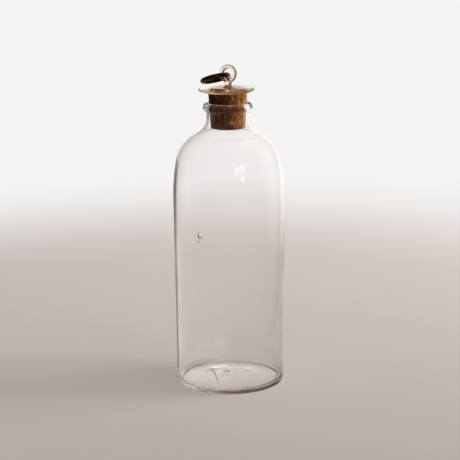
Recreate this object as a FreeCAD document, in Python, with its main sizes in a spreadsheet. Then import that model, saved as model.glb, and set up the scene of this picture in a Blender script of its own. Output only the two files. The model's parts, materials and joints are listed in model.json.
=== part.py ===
import FreeCAD, Part
import os
from math import acos, asin, atan2, cos, pi, radians, sin, sqrt
import Sketcher
from FreeCAD import Vector

# A blown clear glass bottle closed by a tapered cork. A round glass lid with a standing
# glass loop is fixed on the cork, and a thick metal ring hangs in the loop.
# Millimetres, +Z up. The origin is the middle of the bottle's foot, on the surface it
# stands on. -Y is the front and the metal ring lies to the left, at -X.

doc = FreeCAD.newDocument("corked_glass_bottle")

# Driving dimensions

SIZES = {
    # glass bottle
    "bottle_height": 179.0,      # surface to the top of the lip
    "body_radius": 34.65,        # outside, where the wall is widest
    "wall": 1.65,                # glass of the wall, shoulder and neck
    "foot_taper": 0.75,          # how much narrower the foot is than the widest wall
    "heel_radius": 2.2,          # outer round between foot and wall
    "foot_width": 4.5,           # flat ring that the bottle stands on
    "push_up": 2.0,              # rise of the bottom above the foot
    "floor_thickness": 2.0,
    "floor_corner": 3.0,         # inner round between floor and wall
    "flank_radius": 123.0,       # long curve from the wall into the shoulder
    "flank_rise": 23.5,          # height that the long curve takes
    "shoulder_radius": 23.1,
    "neck_fillet": 11.8,         # hollow curve from the shoulder into the neck
    "neck_length": 2.8,          # straight neck between that curve and the lip
    "bore_radius": 11.7,
    "bead_radius": 3.0,          # rolled lip
    "mouth_round": 0.85,         # inner edge of the mouth
    "pontil_radius": 5.5,        # ring-shaped scar under the bottom
    "pontil_bead": 0.5,
    # cork
    "cork_fit": 0.05,            # radial clearance where the cork closes the bore
    "cork_taper": 3.55,          # degrees from the axis
    "cork_below": 16.1,          # length under the top of the lip
    "cork_above": 7.3,           # length over it
    "cork_edge": 0.5,
    # glass lid and its loop
    "disc_radius": 17.4,
    "disc_thickness": 1.85,
    "rim_flat": 0.15,            # what the rounding leaves straight on the disc's rim
    "disc_offset": 1.15,         # how far the disc's middle lies left of the loop
    "lid_shift": 0.4,            # how far the loop stands right of the bottle's axis
    "knob_radius": 2.2,          # ball of glass under the loop
    "knob_height": 3.0,          # middle of the ball above the disc
    "knob_flare": 1.9,           # hollow curve from the ball to the disc
    "loop_rod": 1.4,             # radius of the glass rod
    "loop_sink": 1.03,           # how deep the rod's middle is melted into the ball
    "hole_side_play": 1.15,      # room beside the metal wire in the loop's hole
    "hole_tall_play": 1.58,      # room over and under it, each
    # metal ring
    "ring_radius": 8.2,          # to the middle of the wire
    "ring_wire": 1.4,            # radius of the wire
    "ring_play": 0.4,            # wire to the bottom of the loop's hole
    "ring_side": 0.3,            # how far right of the loop's middle the wire lies
    "ring_droop": 12.0,          # degrees that the resting ring hangs to the left
    "ring_tilt": 18.5,           # degrees that its near side stands higher
    "seam_gap": 0.1,             # butt joint of the bent wire
    "seam_turn": 115.0,          # degrees from the loop round to the joint, at the back
}

sheet = doc.addObject("Spreadsheet::Sheet", "sizes")
for row, (alias, value) in enumerate(SIZES.items(), start=1):
    sheet.set(f"A{row}", alias)
    sheet.set(f"B{row}", str(value))
    sheet.setAlias(f"B{row}", alias)
doc.recompute()

# Sizes that follow from the driving ones, written once and used in every sketch

NECK_RADIUS = "(sizes.bore_radius + sizes.wall)"
FOOT_RADIUS = "(sizes.body_radius - sizes.foot_taper - sizes.heel_radius)"
BEAD_DROP = "(sizes.bead_radius + sqrt(sizes.bead_radius ^ 2 - (sizes.wall - sizes.mouth_round) ^ 2))"
NECK_BOTTOM = f"(sizes.bottle_height - {BEAD_DROP} - sizes.neck_length)"
CORK_GRIP = "(sizes.bore_radius - sizes.cork_fit)"
CORK_SLOPE = "tan(sizes.cork_taper * 1 deg)"
CORK_TOP_RADIUS = f"({CORK_GRIP} + (sizes.cork_above + sizes.mouth_round) * {CORK_SLOPE})"
CORK_FOOT_RADIUS = f"({CORK_GRIP} - (sizes.cork_below - sizes.mouth_round) * {CORK_SLOPE})"
LID_HEIGHT = "(sizes.bottle_height + sizes.cork_above)"
DISC_EDGE = "(sizes.disc_thickness - sizes.rim_flat) / 2"
BALL_HEIGHT = "(sizes.disc_thickness + sizes.knob_height)"
LOOP_HALF_WIDTH = "(sizes.ring_wire + sizes.hole_side_play + sizes.loop_rod)"
LOOP_HALF_HEIGHT = "(sizes.ring_wire + sizes.hole_tall_play + sizes.loop_rod)"
LOOP_FOOT = f"({BALL_HEIGHT} + sizes.knob_radius - sizes.loop_sink)"
LOOP_MIDDLE = f"({LOOP_FOOT} + {LOOP_HALF_HEIGHT})"
LOOP_CROWN = f"({LOOP_HALF_WIDTH} ^ 2 / {LOOP_HALF_HEIGHT})"
CROWN_RISE = f"({LOOP_HALF_HEIGHT} - {LOOP_CROWN})"
LOOP_SIDE = (f"(({CROWN_RISE} ^ 2 + {LOOP_HALF_WIDTH} ^ 2 - {LOOP_CROWN} ^ 2)"
             f" / (2 * ({LOOP_HALF_WIDTH} - {LOOP_CROWN})))")


def size(formula):
    """The value in millimetres or degrees of one size or of a formula of sizes."""
    value = sheet.evalExpression(formula if "sizes." in formula else f"sizes.{formula}")
    return float(getattr(value, "Value", value))


# Sketch helpers. A rule takes hold of a curve's start, end or centre, or of the sketch's axes.

START, END, CENTRE = range(1, 4)
ACROSS_AXIS, UP_AXIS = -1, -2
ORIGIN = (ACROSS_AXIS, START)


def new_body(label):
    body = doc.addObject("PartDesign::Body", label)
    body.Label = label
    return body


def new_sketch(body, name, plane):
    """A sketch on one of the body's own origin planes."""
    sketch = body.newObject("Sketcher::SketchObject", name)
    support = next(item for item in body.Origin.OriginFeatures if item.Role == plane)
    sketch.AttachmentSupport = [(support, "")]
    sketch.MapMode = "FlatFace"
    return sketch


def line(sketch, start, end):
    return sketch.addGeometry(Part.LineSegment(Vector(*start), Vector(*end)), False)


def circle_at(centre, radius):
    return Part.Circle(Vector(*centre), Vector(0, 0, 1), radius)


def arc(sketch, centre, radius, first, last):
    """An arc that runs anticlockwise between two angles in radians."""
    return sketch.addGeometry(Part.ArcOfCircle(circle_at(centre, radius), first, last), False)


def rule(sketch, kind, *where):
    sketch.addConstraint(Sketcher.Constraint(kind, *where))


def bind(sketch, name, kind, *where, to):
    """A named dimension that follows a formula of the sheet."""
    index = sketch.addConstraint(Sketcher.Constraint(kind, *where, size(to)))
    sketch.renameConstraint(index, name)
    sketch.setExpression(f"Constraints.{name}", to)


def join(sketch, first, first_end, second, second_end, smooth=True):
    """The end of one curve meets the end of the next, smoothly or at a corner."""
    kind = "Tangent" if smooth else "Coincident"
    rule(sketch, kind, first, first_end, second, second_end)


def revolve(body, name, sketch):
    feature = body.newObject("PartDesign::Revolution", name)
    feature.Profile = sketch
    feature.ReferenceAxis = (sketch, ["V_Axis"])
    feature.Angle = 360.0
    return feature


def round_edges(body, name, base, edges, radius):
    """A fillet on named edges of a feature, its radius bound to the sheet."""
    feature = body.newObject("PartDesign::Fillet", name)
    feature.Base = (base, edges)
    feature.Radius = size(radius)
    feature.setExpression("Radius", radius)
    return feature


def circle_edges(shape, height, near=1e-4):
    """The names of the whole circles that lie level at one height of the body."""
    names = []
    for number, edge in enumerate(shape.Edges, start=1):
        level = edge.BoundBox.ZLength < near and abs(edge.BoundBox.ZMin - height) < near
        if level and edge.isClosed():
            names.append(f"Edge{number}")
    return names


# Glass bottle: one blown wall from the pushed-up bottom to the rolled lip.
# The inner curves have the same middles as the outer ones, so the wall stays even.

def glass_bottle():
    body = new_body("glass_bottle")
    sketch = new_sketch(body, "bottle_section", "XZ_Plane")

    height = size("bottle_height")
    wall = size("wall")
    bore = size("bore_radius")
    neck = size(NECK_RADIUS)
    neck_bottom = size(NECK_BOTTOM)
    hollow = size("neck_fillet")
    shoulder = size("shoulder_radius")
    flank = size("flank_radius")
    heel = size("heel_radius")
    foot = size(FOOT_RADIUS)
    body_radius = size("body_radius")
    foot_inner = foot - size("foot_width")
    push_up = size("push_up")
    floor = size("floor_thickness")
    corner = size("floor_corner")
    mouth = size("mouth_round")
    bead = size("bead_radius")

    def on(middle, radius, angle):
        return (middle[0] + radius * cos(angle), middle[1] + radius * sin(angle))

    def dome_under(rim, rise):
        """The radius of an arc over the axis that climbs to a height from a rim point."""
        return (rim[0] ** 2 + (rise - rim[1]) ** 2) / (2 * (rise - rim[1]))

    # Where the curves start and end, near enough for the sketch's rules to settle them
    lean = size("foot_taper") / neck_bottom
    flank_end = asin(size("flank_rise") / flank - sin(lean))
    flank_end_radius = body_radius - flank * (cos(lean) - cos(flank_end))
    reach = hollow + shoulder
    shoulder_end = acos((neck + hollow + shoulder * cos(flank_end) - flank_end_radius) / reach)
    hollow_middle = (neck + hollow, neck_bottom)
    shoulder_middle = on(hollow_middle, -reach, shoulder_end)
    flank_middle = on(shoulder_middle, shoulder - flank, flank_end)
    bead_middle = (bore + mouth, height - bead)
    bead_start = acos((neck - bead_middle[0]) / bead)
    bead_foot = (neck, bead_middle[1] - bead * sin(bead_start))
    mouth_middle = (bore + mouth, height - mouth)
    heel_middle = (foot, heel)
    corner_middle = (foot + heel - wall - corner, floor + corner)
    under_radius = dome_under((foot_inner, 0), push_up)
    under_middle = (0, push_up - under_radius)
    under_edge = acos(foot_inner / under_radius)
    dome_radius = dome_under((corner_middle[0], floor), push_up + floor)
    dome_middle = (0, push_up + floor - dome_radius)
    dome_edge = pi / 2 - asin(corner_middle[0] / dome_radius)

    # outside, from the bottom up
    under = arc(sketch, under_middle, under_radius, under_edge, pi / 2)
    foot_line = line(sketch, (foot_inner, 0), (foot, 0))
    heel_arc = arc(sketch, heel_middle, heel, -pi / 2, -lean)
    wall_line = line(sketch, on(heel_middle, heel, -lean), on(flank_middle, flank, -lean))
    flank_arc = arc(sketch, flank_middle, flank, -lean, flank_end)
    shoulder_arc = arc(sketch, shoulder_middle, shoulder, flank_end, shoulder_end)
    hollow_arc = arc(sketch, hollow_middle, hollow, pi, pi + shoulder_end)
    neck_line = line(sketch, (neck, neck_bottom), bead_foot)
    bead_arc = arc(sketch, bead_middle, bead, -bead_start, pi / 2)
    # inside, from the mouth down
    mouth_arc = arc(sketch, mouth_middle, mouth, pi / 2, pi)
    bore_line = line(sketch, (bore, height - mouth), (bore, neck_bottom))
    inner_hollow = arc(sketch, hollow_middle, hollow + wall, pi, pi + shoulder_end)
    inner_shoulder = arc(sketch, shoulder_middle, shoulder - wall, flank_end, shoulder_end)
    inner_flank = arc(sketch, flank_middle, flank - wall, -lean, flank_end)
    inner_wall = line(sketch, on(flank_middle, flank - wall, -lean), on(corner_middle, corner, -lean))
    corner_arc = arc(sketch, corner_middle, corner, -pi / 2 - (pi / 2 - dome_edge), -lean)
    dome_arc = arc(sketch, dome_middle, dome_radius, dome_edge, pi / 2)
    axis_line = line(sketch, (0, push_up + floor), (0, push_up))

    join(sketch, under, START, foot_line, START, smooth=False)
    join(sketch, foot_line, END, heel_arc, START)
    join(sketch, heel_arc, END, wall_line, START)
    join(sketch, wall_line, END, flank_arc, START)
    join(sketch, flank_arc, END, shoulder_arc, START)
    join(sketch, shoulder_arc, END, hollow_arc, END)
    join(sketch, hollow_arc, START, neck_line, START)
    join(sketch, neck_line, END, bead_arc, START, smooth=False)
    join(sketch, bead_arc, END, mouth_arc, START)
    join(sketch, mouth_arc, END, bore_line, START)
    join(sketch, bore_line, END, inner_hollow, START)
    join(sketch, inner_hollow, END, inner_shoulder, END)
    join(sketch, inner_shoulder, START, inner_flank, END)
    join(sketch, inner_flank, START, inner_wall, START)
    join(sketch, inner_wall, END, corner_arc, END)
    join(sketch, corner_arc, START, dome_arc, START)
    join(sketch, dome_arc, END, axis_line, START, smooth=False)
    join(sketch, axis_line, END, under, END, smooth=False)

    rule(sketch, "PointOnObject", foot_line, START, ACROSS_AXIS)
    rule(sketch, "Horizontal", foot_line)
    rule(sketch, "Vertical", neck_line)
    rule(sketch, "Vertical", bore_line)
    rule(sketch, "PointOnObject", axis_line, START, UP_AXIS)
    rule(sketch, "Vertical", axis_line)
    rule(sketch, "PointOnObject", under, CENTRE, UP_AXIS)
    rule(sketch, "PointOnObject", dome_arc, CENTRE, UP_AXIS)
    rule(sketch, "Vertical", bead_arc, CENTRE, mouth_arc, CENTRE)
    rule(sketch, "Coincident", hollow_arc, CENTRE, inner_hollow, CENTRE)
    rule(sketch, "Coincident", shoulder_arc, CENTRE, inner_shoulder, CENTRE)
    rule(sketch, "Coincident", flank_arc, CENTRE, inner_flank, CENTRE)
    rule(sketch, "Parallel", wall_line, inner_wall)

    bind(sketch, "rim_height", "DistanceY", *ORIGIN, bead_arc, END, to="sizes.bottle_height")
    bind(sketch, "neck_bottom", "DistanceY", *ORIGIN, neck_line, START, to=NECK_BOTTOM)
    bind(sketch, "neck_radius", "DistanceX", *ORIGIN, neck_line, START, to=NECK_RADIUS)
    bind(sketch, "bore_radius", "DistanceX", *ORIGIN, bore_line, START, to="sizes.bore_radius")
    bind(sketch, "bead_radius", "Radius", bead_arc, to="sizes.bead_radius")
    bind(sketch, "mouth_round", "Radius", mouth_arc, to="sizes.mouth_round")
    bind(sketch, "neck_fillet", "Radius", hollow_arc, to="sizes.neck_fillet")
    bind(sketch, "shoulder_radius", "Radius", shoulder_arc, to="sizes.shoulder_radius")
    bind(sketch, "flank_radius", "Radius", flank_arc, to="sizes.flank_radius")
    bind(sketch, "flank_rise", "DistanceY", flank_arc, START, flank_arc, END, to="sizes.flank_rise")
    bind(sketch, "body_radius", "DistanceX", *ORIGIN, wall_line, END, to="sizes.body_radius")
    bind(sketch, "foot_radius", "DistanceX", *ORIGIN, foot_line, END, to=FOOT_RADIUS)
    bind(sketch, "foot_width", "DistanceX", foot_line, START, foot_line, END, to="sizes.foot_width")
    bind(sketch, "heel_radius", "Radius", heel_arc, to="sizes.heel_radius")
    bind(sketch, "push_up", "DistanceY", *ORIGIN, axis_line, END, to="sizes.push_up")
    bind(sketch, "floor", "DistanceY", axis_line, END, axis_line, START, to="sizes.floor_thickness")
    bind(sketch, "floor_corner", "Radius", corner_arc, to="sizes.floor_corner")
    bind(sketch, "corner_height", "DistanceY", *ORIGIN, corner_arc, CENTRE,
         to="sizes.floor_thickness + sizes.floor_corner")

    doc.recompute()
    revolve(body, "blown_wall", sketch)
    doc.recompute()

    # the scar where the hot bottle was held: a low round bead under the bottom
    scar = new_sketch(body, "pontil_section", "XZ_Plane")
    bead_middle = (size("pontil_radius"), push_up)
    bead_circle = scar.addGeometry(circle_at(bead_middle, size("pontil_bead")), False)
    bind(scar, "pontil_radius", "DistanceX", *ORIGIN, bead_circle, CENTRE, to="sizes.pontil_radius")
    bind(scar, "pontil_height", "DistanceY", *ORIGIN, bead_circle, CENTRE, to="sizes.push_up")
    bind(scar, "pontil_bead", "Radius", bead_circle, to="sizes.pontil_bead")
    revolve(body, "pontil_scar", scar)
    doc.recompute()
    return body


# Cork: a plain taper that closes the bore just under the rounded mouth

def cork_stopper():
    body = new_body("cork_stopper")
    sketch = new_sketch(body, "cork_section", "XZ_Plane")

    length = "(sizes.cork_below + sizes.cork_above)"
    top = size(CORK_TOP_RADIUS)
    foot = size(CORK_FOOT_RADIUS)
    tall = size(length)

    foot_line = line(sketch, (0, 0), (foot, 0))
    side_line = line(sketch, (foot, 0), (top, tall))
    top_line = line(sketch, (top, tall), (0, tall))
    axis_line = line(sketch, (0, tall), (0, 0))
    join(sketch, foot_line, END, side_line, START, smooth=False)
    join(sketch, side_line, END, top_line, START, smooth=False)
    join(sketch, top_line, END, axis_line, START, smooth=False)
    join(sketch, axis_line, END, foot_line, START, smooth=False)
    rule(sketch, "Coincident", foot_line, START, *ORIGIN)
    rule(sketch, "Horizontal", foot_line)
    rule(sketch, "Horizontal", top_line)
    rule(sketch, "Vertical", axis_line)
    bind(sketch, "foot_radius", "DistanceX", *ORIGIN, foot_line, END, to=CORK_FOOT_RADIUS)
    bind(sketch, "top_radius", "DistanceX", *ORIGIN, side_line, END, to=CORK_TOP_RADIUS)
    bind(sketch, "cork_length", "DistanceY", *ORIGIN, side_line, END, to=length)

    taper = revolve(body, "cork_taper", sketch)
    doc.recompute()
    ends = circle_edges(taper.Shape, 0) + circle_edges(taper.Shape, tall)
    round_edges(body, "worn_edges", taper, ends, "sizes.cork_edge")
    body.setExpression("Placement.Base.z", "sizes.bottle_height - sizes.cork_below")
    doc.recompute()
    return body


# Glass lid: a fire-polished disc, a ball of glass melted on it and the loop that stands on
# the ball, all one piece. The body's own origin is under the loop, at the disc's lower face.

def glass_lid():
    body = new_body("glass_lid")

    round_plate = new_sketch(body, "disc_outline", "XY_Plane")
    rim = round_plate.addGeometry(circle_at((-size("disc_offset"), 0), size("disc_radius")), False)
    rule(round_plate, "PointOnObject", rim, CENTRE, ACROSS_AXIS)
    bind(round_plate, "disc_offset", "DistanceX", rim, CENTRE, *ORIGIN, to="sizes.disc_offset")
    bind(round_plate, "disc_radius", "Radius", rim, to="sizes.disc_radius")
    disc = body.newObject("PartDesign::Pad", "disc")
    disc.Profile = round_plate
    disc.Length = size("disc_thickness")
    disc.setExpression("Length", "sizes.disc_thickness")
    doc.recompute()
    thick = size("disc_thickness")
    rims = circle_edges(disc.Shape, 0) + circle_edges(disc.Shape, thick)
    round_edges(body, "polished_rim", disc, rims, DISC_EDGE)
    doc.recompute()

    # the ball and its hollow foot, turned about the loop's axis
    ball = size("knob_radius")
    ball_height = size(BALL_HEIGHT)
    flare = size("knob_flare")
    flare_height = thick + flare
    flare_side = sqrt((ball + flare) ** 2 - (ball_height - flare_height) ** 2)
    contact = asin((flare_height - ball_height) / (ball + flare))
    section = new_sketch(body, "ball_section", "XZ_Plane")
    base_line = line(section, (0, thick / 2), (flare_side, thick / 2))
    edge_line = line(section, (flare_side, thick / 2), (flare_side, thick))
    flare_arc = arc(section, (flare_side, flare_height), flare, pi + contact, 3 * pi / 2)
    ball_arc = arc(section, (0, ball_height), ball, contact, pi / 2)
    axis_line = line(section, (0, ball_height + ball), (0, thick / 2))
    join(section, base_line, END, edge_line, START, smooth=False)
    join(section, edge_line, END, flare_arc, END, smooth=False)
    join(section, flare_arc, START, ball_arc, START)
    join(section, ball_arc, END, axis_line, START, smooth=False)
    join(section, axis_line, END, base_line, START, smooth=False)
    rule(section, "Horizontal", base_line)
    rule(section, "Vertical", edge_line)
    rule(section, "Vertical", edge_line, END, flare_arc, CENTRE)
    rule(section, "PointOnObject", axis_line, END, UP_AXIS)
    rule(section, "PointOnObject", axis_line, START, UP_AXIS)
    rule(section, "PointOnObject", ball_arc, CENTRE, UP_AXIS)
    bind(section, "ball_radius", "Radius", ball_arc, to="sizes.knob_radius")
    bind(section, "ball_height", "DistanceY", *ORIGIN, ball_arc, CENTRE, to=BALL_HEIGHT)
    bind(section, "flare_radius", "Radius", flare_arc, to="sizes.knob_flare")
    bind(section, "disc_top", "DistanceY", *ORIGIN, edge_line, END, to="sizes.disc_thickness")
    bind(section, "root", "DistanceY", *ORIGIN, base_line, START, to="sizes.disc_thickness / 2")
    revolve(body, "ball_and_flare", section)
    doc.recompute()

    # The loop: a round glass rod bent to an upright oval of arcs. Its ends meet on the ball.
    middle = size(LOOP_MIDDLE)
    crown = size(LOOP_CROWN)
    rise = size(CROWN_RISE)
    side = size(LOOP_SIDE)
    reach = side - size(LOOP_HALF_WIDTH)
    lean = atan2(rise, reach)
    bottom = 3 * pi / 2
    route = new_sketch(body, "loop_route", "XZ_Plane")
    foot_right = arc(route, (0, middle - rise), crown, bottom, 2 * pi - lean)
    right = arc(route, (-reach, middle), side, -lean, lean)
    top = arc(route, (0, middle + rise), crown, lean, pi - lean)
    left = arc(route, (reach, middle), side, pi - lean, pi + lean)
    foot_left = arc(route, (0, middle - rise), crown, pi + lean, bottom)
    turns = [foot_right, right, top, left, foot_left]
    for first, second in zip(turns, turns[1:] + turns[:1]):
        join(route, first, END, second, START)
    rule(route, "Equal", top, foot_right)
    rule(route, "Equal", top, foot_left)
    rule(route, "Equal", right, left)
    rule(route, "PointOnObject", top, CENTRE, UP_AXIS)
    rule(route, "PointOnObject", foot_right, START, UP_AXIS)
    rule(route, "Horizontal", left, CENTRE, right, CENTRE)
    bind(route, "loop_middle", "DistanceY", *ORIGIN, right, CENTRE, to=LOOP_MIDDLE)
    bind(route, "crown_height", "DistanceY", *ORIGIN, top, CENTRE, to=f"{LOOP_MIDDLE} + {CROWN_RISE}")
    bind(route, "crown_radius", "Radius", top, to=LOOP_CROWN)
    bind(route, "side_radius", "Radius", right, to=LOOP_SIDE)
    rod = new_sketch(body, "rod_section", "YZ_Plane")
    rod_circle = rod.addGeometry(circle_at((0, size(LOOP_FOOT)), size("loop_rod")), False)
    rule(rod, "PointOnObject", rod_circle, CENTRE, UP_AXIS)
    bind(rod, "rod_height", "DistanceY", *ORIGIN, rod_circle, CENTRE, to=LOOP_FOOT)
    bind(rod, "rod_radius", "Radius", rod_circle, to="sizes.loop_rod")
    doc.recompute()
    loop = body.newObject("PartDesign::AdditivePipe", "loop")
    loop.Profile = rod
    loop.Spine = (route, [f"Edge{number}" for number in range(1, len(turns) + 1)])
    doc.recompute()

    body.setExpression("Placement.Base.x", "sizes.lid_shift")
    body.setExpression("Placement.Base.z", LID_HEIGHT)
    doc.recompute()
    return body


# Metal ring: round wire bent until its ends meet. Its middle is the body's own origin and
# its joint lies on the body's own +X side.

def metal_ring():
    body = new_body("metal_ring")
    sketch = new_sketch(body, "wire_section", "XZ_Plane")
    wire = sketch.addGeometry(circle_at((size("ring_radius"), 0), size("ring_wire")), False)
    rule(sketch, "PointOnObject", wire, CENTRE, ACROSS_AXIS)
    bind(sketch, "ring_radius", "DistanceX", *ORIGIN, wire, CENTRE, to="sizes.ring_radius")
    bind(sketch, "ring_wire", "Radius", wire, to="sizes.ring_wire")
    bent = revolve(body, "bent_wire", sketch)
    bent.setExpression("Angle", "360 deg - 1 rad * sizes.seam_gap / sizes.ring_radius")

    # The wire lies on the bottom of the loop's hole and leaves it towards the front, rising.
    tilt = radians(size("ring_tilt"))
    droop = radians(size("ring_droop"))
    forward = Vector(0, -cos(tilt), sin(tilt))
    raised = Vector(0, sin(tilt), cos(tilt))
    outward = Vector(-cos(droop), 0, 0) - raised * sin(droop)
    hole_bottom = size(f"{LID_HEIGHT} + {LOOP_FOOT} + sizes.loop_rod")
    wire_height = hole_bottom + size("ring_play") + size("ring_wire") / cos(tilt)
    hinge = Vector(size("lid_shift") + size("ring_side"), 0, wire_height)
    seam = radians(size("seam_turn"))
    to_seam = outward * -cos(seam) - forward * sin(seam)
    normal = outward.cross(forward)
    body.Placement = FreeCAD.Placement(
        hinge + outward * size("ring_radius"),
        FreeCAD.Rotation(to_seam, normal.cross(to_seam), normal, "ZXY"))
    doc.recompute()
    return body


parts = [glass_bottle(), cork_stopper(), glass_lid(), metal_ring()]

# Checks, then one file for each piece

doc.recompute()
for item in doc.Objects:
    if "Invalid" in item.State or "Error" in item.State:
        raise RuntimeError(f"{item.Label} failed: {item.State}")
for part in parts:
    if part.Shape.isNull() or not part.Shape.isValid():
        raise RuntimeError(f"{part.Label} has no valid shape")

os.makedirs("parts", exist_ok=True)
for part in parts:
    part.Shape.exportStep(f"parts/{part.Label}.step")
    box = part.Shape.optimalBoundingBox()
    low = f"{box.XMin:.2f}, {box.YMin:.2f}, {box.ZMin:.2f}"
    high = f"{box.XMax:.2f}, {box.YMax:.2f}, {box.ZMax:.2f}"
    print(f"{part.Label}: {len(part.Shape.Solids)} solid, {part.Shape.Volume:.1f} mm3, {low} to {high}")
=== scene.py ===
"""The looks of a blown glass bottle with a cork, a glass lid and a metal ring.

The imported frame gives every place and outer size. Lengths below are in millimetres and are
turned into metres where a mesh is made. Turns are counted from the front, which is -Y. Most
pairs of numbers are where a change starts and where it is complete. A PATTERN is the lumps and
the level of noise round the axis, and a PART is an even part and the part that goes with noise.
"""
import json
import random
from math import acos, asin, atan2, ceil, cos, exp, hypot, pi, radians, sin, sqrt, tau

import bmesh
import bpy
from mathutils import Matrix, Vector, noise


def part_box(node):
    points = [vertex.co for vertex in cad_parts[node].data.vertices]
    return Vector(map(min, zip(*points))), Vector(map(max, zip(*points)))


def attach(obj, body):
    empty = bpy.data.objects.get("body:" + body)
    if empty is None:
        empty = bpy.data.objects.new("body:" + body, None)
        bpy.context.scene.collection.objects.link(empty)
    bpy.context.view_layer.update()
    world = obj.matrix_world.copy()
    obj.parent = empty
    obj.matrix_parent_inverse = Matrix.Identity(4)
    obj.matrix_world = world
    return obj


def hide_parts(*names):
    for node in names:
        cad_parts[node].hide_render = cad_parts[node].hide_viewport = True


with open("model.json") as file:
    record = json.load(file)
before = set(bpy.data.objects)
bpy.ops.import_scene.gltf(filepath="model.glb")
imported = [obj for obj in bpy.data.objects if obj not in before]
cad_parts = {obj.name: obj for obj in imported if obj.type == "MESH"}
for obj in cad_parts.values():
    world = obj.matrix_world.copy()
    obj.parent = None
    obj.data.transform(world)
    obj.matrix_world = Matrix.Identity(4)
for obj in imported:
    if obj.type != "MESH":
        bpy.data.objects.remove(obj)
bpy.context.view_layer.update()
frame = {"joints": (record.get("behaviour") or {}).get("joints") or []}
MM = 0.001


def millimetres(node):
    """The lowest and highest corner of a node."""
    low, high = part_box(node)
    return low / MM, high / MM


BOTTLE_LOW, BOTTLE_HIGH = millimetres("glass_bottle")
CORK_LOW, CORK_HIGH = millimetres("cork_stopper")
LID_LOW, LID_HIGH = millimetres("glass_lid")
RING_HINGE = next(joint for joint in frame["joints"] if joint["name"] == "ring_swing")


def in_scene(name, data):
    thing = bpy.data.objects.new(name, data)
    bpy.context.scene.collection.objects.link(thing)
    return thing


# The camera stands where the photograph was taken from

PHOTO_SIDE = 460                    # pixels
FOCAL_PIXELS = 1780
SENSOR = 36.0
CAMERA_PLACE = Vector((0.57, -1083.8, 368.7))
CAMERA_PITCH = radians(14.04)       # looks down
CAMERA_ROLL = radians(0.6)          # the bottle's top leans left in the picture


def make_camera():
    data = bpy.data.cameras.new("camera")
    data.sensor_width = SENSOR
    data.lens = FOCAL_PIXELS / PHOTO_SIDE * SENSOR
    data.clip_start = 0.01
    data.clip_end = 50.0
    camera = in_scene("camera", data)
    turn = Matrix.Rotation(pi / 2 - CAMERA_PITCH, 4, "X") @ Matrix.Rotation(-CAMERA_ROLL, 4, "Z")
    camera.matrix_world = Matrix.Translation(CAMERA_PLACE * MM) @ turn
    bpy.context.scene.camera = camera


# Mesh helpers

SAME_POINT = 1e-4                   # runs of an outline that end this near each other meet


def new_piece(name, verts, faces, material):
    """A smooth-shaded mesh object whose points are given in millimetres."""
    mesh = bpy.data.meshes.new(name)
    mesh.from_pydata([Vector(v) * MM for v in verts], [], faces)
    mesh.validate()
    shade_smooth(mesh)
    mesh.materials.append(material)
    return in_scene(name, mesh)


def shade_smooth(mesh):
    for polygon in mesh.polygons:
        polygon.use_smooth = True


def arc(centre, radius, first, last, step):
    """Points along an arc of a half section, at most one step apart."""
    count = max(3, ceil(abs(last - first) * radius / step))
    angles = [first + (last - first) * i / count for i in range(count + 1)]
    return [(centre[0] + radius * cos(a), centre[1] + radius * sin(a)) for a in angles]


def straight(start, end, step):
    count = max(1, ceil(hypot(end[0] - start[0], end[1] - start[1]) / step))
    return [tuple(a + (b - a) * i / count for a, b in zip(start, end)) for i in range(count + 1)]


def chain(*runs):
    """One outline from runs that meet end to start."""
    outline = []
    for run in runs:
        if outline:
            last, first = outline[-1], run[0]
            if hypot(last[0] - first[0], last[1] - first[1]) < SAME_POINT:
                run = run[1:]
        outline.extend(run)
    return outline


def turned(outline, segments, place):
    """Points and faces of a turned form. The outline starts and ends on the axis, and place
    gives the point for an outline point's number, radius, height and turn."""
    verts = [place(0, 0.0, outline[0][1], 0.0)]
    for number, (r, z) in enumerate(outline[1:-1], start=1):
        verts += [place(number, r, z, tau * k / segments) for k in range(segments)]
    verts.append(place(len(outline) - 1, 0.0, outline[-1][1], 0.0))

    def at(ring, k):
        return 1 + ring * segments + k % segments

    rings = len(outline) - 2
    faces = [(0, at(0, k + 1), at(0, k)) for k in range(segments)]
    faces += tube_faces(rings, segments, first=1)
    top = len(verts) - 1
    faces += [(top, at(rings - 1, k), at(rings - 1, k + 1)) for k in range(segments)]
    return verts, faces


def tube_faces(rings, segments, closed=False, first=0):
    """Faces of a tube whose points come ring by ring, counted from the first."""
    faces = []
    for ring in range(rings if closed else rings - 1):
        here = first + ring * segments
        there = first + (ring + 1) % rings * segments
        for k in range(segments):
            m = (k + 1) % segments
            faces.append((here + k, here + m, there + m, there + k))
    return faces


def fade(value, low, high):
    """0 below low, 1 above high, and smooth between."""
    t = min(1.0, max(0.0, (value - low) / (high - low)))
    return t * t * (3 - 2 * t)


def fall(value, low, high):
    """1 below low, 0 above high, and smooth between."""
    return fade(-value, -high, -low)


def noise_at(x, y, z):
    return noise.noise(Vector((x, y, z)))


def noise_round(turn, lumps, level):
    """Noise round the axis. More lumps make it finer, and each level is another noise."""
    return noise_at(cos(turn) * lumps, sin(turn) * lumps, level)


def half(value):
    """Noise from -1 to 1 as a share from 0 to 1."""
    return 0.5 + 0.5 * value


# Glass bottle. HEEL, FLANK, SHOULDER and the like are radii of the curves in its half section

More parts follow.
